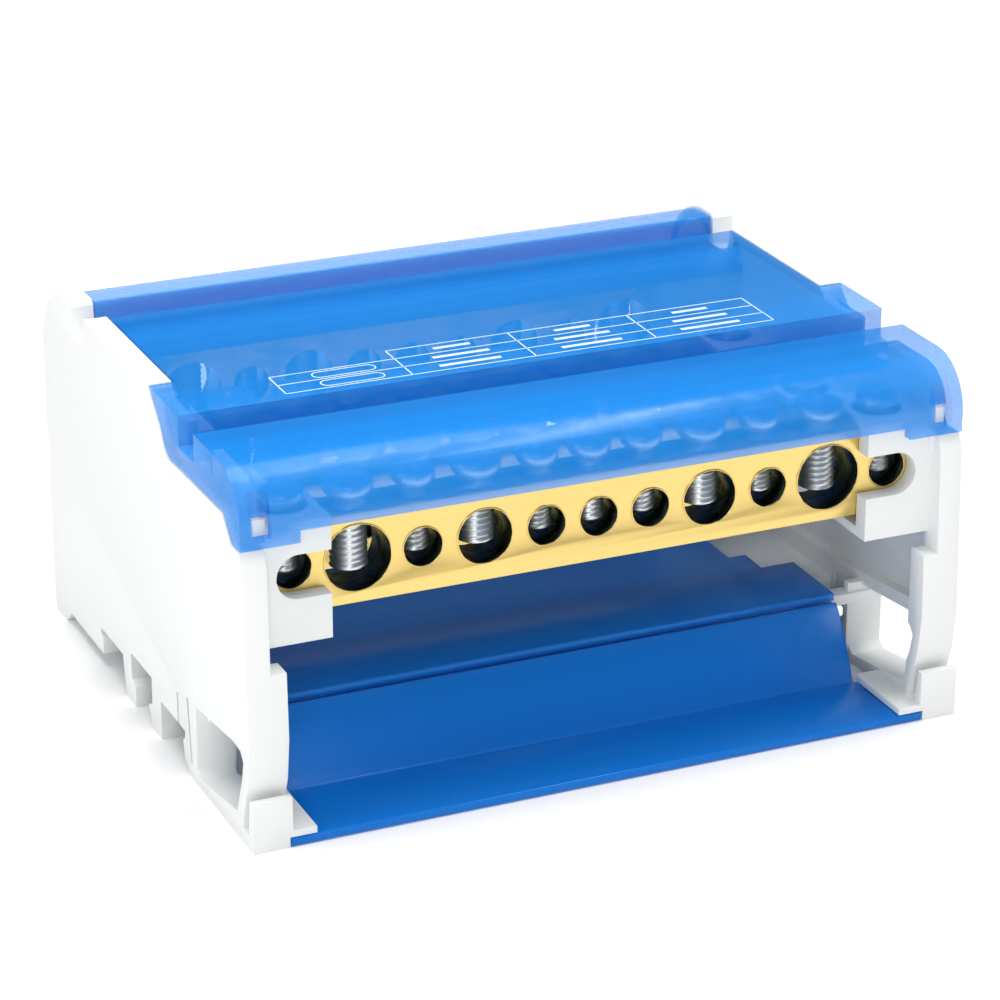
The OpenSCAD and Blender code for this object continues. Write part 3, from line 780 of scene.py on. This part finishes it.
def joined(parts, name):
    """One mesh object from several"""
    work = bmesh.new()
    for part in parts:
        work.from_mesh(part.data)
        bpy.data.objects.remove(part)
    mesh = bpy.data.meshes.new(name)
    work.to_mesh(mesh)
    work.free()
    mesh.shade_smooth()
    return link_mesh(name, mesh)


class BLOCK_OT_bars(bpy.types.Operator):
    """Makes the drilled brass bars"""
    bl_idname = "block.bars"
    bl_label = "Brass bars"

    def execute(self, context):
        for node_name in BARS:
            piece = softened(node_name, node_name + "_milled", settings("finish").bar_edge)
            dress(piece, "brass", HOUSING, node_name)
            # the bore walls get painted shade
            paint_bore_shade(piece, node_name)
            burrs = bar_burrs(node_name)
            dress(burrs, "brass", HOUSING)
        return {"FINISHED"}


# ---------------------------------------------------------------- printed grid

def line_tree():
    """Gives each edge of a mesh a flat band of ink"""
    tree, given, out = geometry_group(
        "printed_lines", [("Line width", "NodeSocketFloat"), ("Ink thickness", "NodeSocketFloat")])
    path = add_node(tree, "GeometryNodeMeshToCurve", Mesh=given.outputs["Geometry"])
    flat = add_node(tree, "GeometryNodeSetCurveNormal", {"mode": "Z_UP"}, Curve=path.outputs[0])
    band = add_node(tree, "GeometryNodeCurvePrimitiveQuadrilateral",
                    Width=given.outputs["Line width"], Height=given.outputs["Ink thickness"])
    swept = add_node(tree, "GeometryNodeCurveToMesh", Curve=flat.outputs[0],
                     Profile_Curve=band.outputs[0], Fill_Caps=True)
    real = add_node(tree, "GeometryNodeRealizeInstances", Geometry=swept.outputs[0])
    give_finish(tree, given, out, real.outputs[0])
    return tree


def segment_mesh(name, lines, z):
    """A mesh of open and closed lines, each a list of points on one level"""
    points, edges = [], []
    for line in lines:
        start = len(points)
        points += [(x * MM, y * MM, z) for x, y in line]
        edges += [(start + k, start + k + 1) for k in range(len(line) - 1)]
    mesh = bpy.data.meshes.new(name)
    mesh.from_pydata(points, edges, [])
    return mesh


def pill(x, y, length, height, steps=8):
    """Outline of a slot with round ends, as a closed line"""
    half, r = length / 2 - height / 2, height / 2
    right = [(x + half + r * math.cos(a), y + r * math.sin(a))
             for a in (math.pi * (k / steps - 0.5) for k in range(steps + 1))]
    left = [(2 * x - px, 2 * y - py) for px, py in right]
    return right + left + right[:1]


def grid_lines(given):
    """Lines of the blank table on the centre panel, in millimetres"""
    left, right = given.left / MM, given.right / MM
    step = (right - left) / given.columns
    rows = [given.front / MM + k * given.row / MM for k in range(given.rows + 1)]
    lines = [[(left, y), (right, y)] for y in rows[:-1]]
    lines.append([(left + step, rows[-1]), (right, rows[-1])])
    lines.append([(left, rows[0]), (left, rows[-2])])
    lines += [[(left + k * step, rows[0]), (left + k * step, rows[-1])]
              for k in range(1, given.columns + 1)]
    for y in rows[:2]:
        lines.append(pill(left + step / 2 + 1, y + given.row / MM / 2, step * 0.5,
                          given.row / MM * 0.62))
    return lines


def field_lines(given):
    """Plain dashes that fill the cells of the table"""
    left, right = given.left / MM, given.right / MM
    step, row = (right - left) / given.columns, given.row / MM
    wanted = [(column, level) for column in range(1, given.columns) for level in range(given.rows)]
    shares = {0: 0.5, 1: 0.46, 2: 0.3}
    dashes = []
    for column, level in wanted:
        x = left + (column + 0.5) * step
        y = given.front / MM + (level + 0.5) * row
        half = shares[level] * step / 2
        dashes.append([(x - half, y), (x + half, y)])
    return dashes


class BLOCK_OT_printed_grid(bpy.types.Operator):
    """Prints the blank table on the front cover"""
    bl_idname = "block.printed_grid"
    bl_label = "Printed table"

    def execute(self, context):
        given = settings("table")
        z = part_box("hinge_bridge")[1].z + given.lift
        for name, lines, width in (("printed_table", grid_lines(given), given.line_width),
                                   ("printed_fields", field_lines(given), given.dash_width)):
            piece = grown(segment_mesh(name, lines, z), shared("printed_lines", line_tree), name,
                          Line_width=width, Ink_thickness=INK_THICKNESS, Finish=material("print_ink"))
            dress(piece, "print_ink", FRONT_COVER)
        return {"FINISHED"}


# ---------------------------------------------------------------- stage

def camera_turn(given):
    """The camera's rotation from its azimuth, elevation and roll"""
    turned = Matrix.Rotation(-given.azimuth, 3, "Z")
    tipped = Matrix.Rotation(math.pi / 2 - given.elevation, 3, "X")
    return turned @ tipped @ Matrix.Rotation(given.roll, 3, "Z")


def soft_light(name, place, size, energy):
    """A white rectangular lamp that points at the block"""
    lamp = bpy.data.lights.new(name, "AREA")
    lamp.shape = "RECTANGLE"
    lamp.size, lamp.size_y = size
    lamp.energy = energy
    made = bpy.data.objects.new(name, lamp)
    made.location = place
    made.rotation_euler = (Vector(LIGHT_AIM) - Vector(place)).to_track_quat("-Z", "Y").to_euler()
    bpy.context.scene.collection.objects.link(made)


def studio_air(strength, mirrored):
    """Pale surroundings that are dimmer where they are mirrored"""
    world = bpy.data.worlds.new("studio")
    world.use_nodes = True
    tree = world.node_tree
    air = tree.nodes["Background"]
    air.inputs["Color"].default_value = (0.95, 0.97, 1, 1)
    path = tree.nodes.new("ShaderNodeLightPath")
    tree.links.new(remap(tree, path.outputs["Is Glossy Ray"], 0, 1, strength, mirrored),
                   air.inputs["Strength"])
    return world


def add_camera(given):
    """The camera, in its place and turned to the block"""
    camera = bpy.data.cameras.new("camera")
    camera.sensor_width = SENSOR_WIDTH
    camera.lens = given.lens
    camera.clip_start = 0.01
    holder = bpy.data.objects.new("camera", camera)
    holder.matrix_world = Matrix.Translation(given.camera_place) @ camera_turn(given).to_4x4()
    bpy.context.scene.collection.objects.link(holder)
    bpy.context.scene.camera = holder


def add_floor(given):
    """The pale matt floor"""
    half = FLOOR_HALF
    mesh = bpy.data.meshes.new("floor")
    mesh.from_pydata([(-half, -half, 0), (half, -half, 0), (half, half, 0), (-half, half, 0)],
                     [], [(0, 1, 2, 3)])
    floor = link_mesh("floor", mesh)
    paint, _, shader, _ = new_material("floor")
    shader.inputs["Base Color"].default_value = (*given.floor_colour, 1)
    shader.inputs["Roughness"].default_value = 0.9
    shader.inputs["Specular IOR Level"].default_value = 0.1
    mesh.materials.append(paint)


class BLOCK_OT_stage(bpy.types.Operator):
    """Sets the floor, the soft lights and the camera"""
    bl_idname = "block.stage"
    bl_label = "Stage"

    def execute(self, context):
        given = settings("stage")
        add_camera(given)
        add_floor(given)
        scene = context.scene
        scene.world = studio_air(AIR_STRENGTH, MIRRORED_AIR_STRENGTH)
        scene.view_settings.view_transform = "Standard"
        scene.view_settings.look = "Medium High Contrast"
        for name, place, size, energy in LIGHTS:
            soft_light(name, place, size, energy)
        return {"FINISHED"}


class BLOCK_PT_panel(bpy.types.Panel):
    """Lists the block's pieces and its stage"""
    bl_idname = "BLOCK_PT_panel"
    bl_label = "Distribution block"
    bl_space_type = "VIEW_3D"
    bl_region_type = "UI"
    bl_category = "Block"

    def draw(self, context):
        for group, names in PANEL_ROWS:
            box = self.layout.box()
            given = settings(group)
            for name in given.bl_rna.properties.keys():
                if name not in ("rna_type", "name"):
                    box.prop(given, name)
            for name in names:
                box.operator("block." + name)


PANEL_ROWS = (("finish", ("side_plates", "covers", "trays", "bars")),
              ("screws", ("screws",)),
              ("table", ("printed_grid",)),
              ("stage", ("stage",)))
GROUPS = {"finish": FinishSettings, "screws": ScrewSettings, "table": TableSettings,
          "stage": StageSettings}
CLASSES = (*GROUPS.values(), BLOCK_OT_side_plates, BLOCK_OT_covers, BLOCK_OT_trays, BLOCK_OT_bars,
           BLOCK_OT_screws, BLOCK_OT_printed_grid, BLOCK_OT_stage, BLOCK_PT_panel)


def register():
    for item in CLASSES:
        bpy.utils.register_class(item)
    for name, group in GROUPS.items():
        setattr(bpy.types.Scene, "block_" + name, bpy.props.PointerProperty(type=group))


def unregister():
    for name in GROUPS:
        delattr(bpy.types.Scene, "block_" + name)
    for item in reversed(CLASSES):
        bpy.utils.unregister_class(item)


def main():
    register()
    for name in ("stage", "side_plates", "covers", "trays", "bars", "screws", "printed_grid"):
        getattr(bpy.ops.block, name)()


if __name__ == "__main__":
    main()
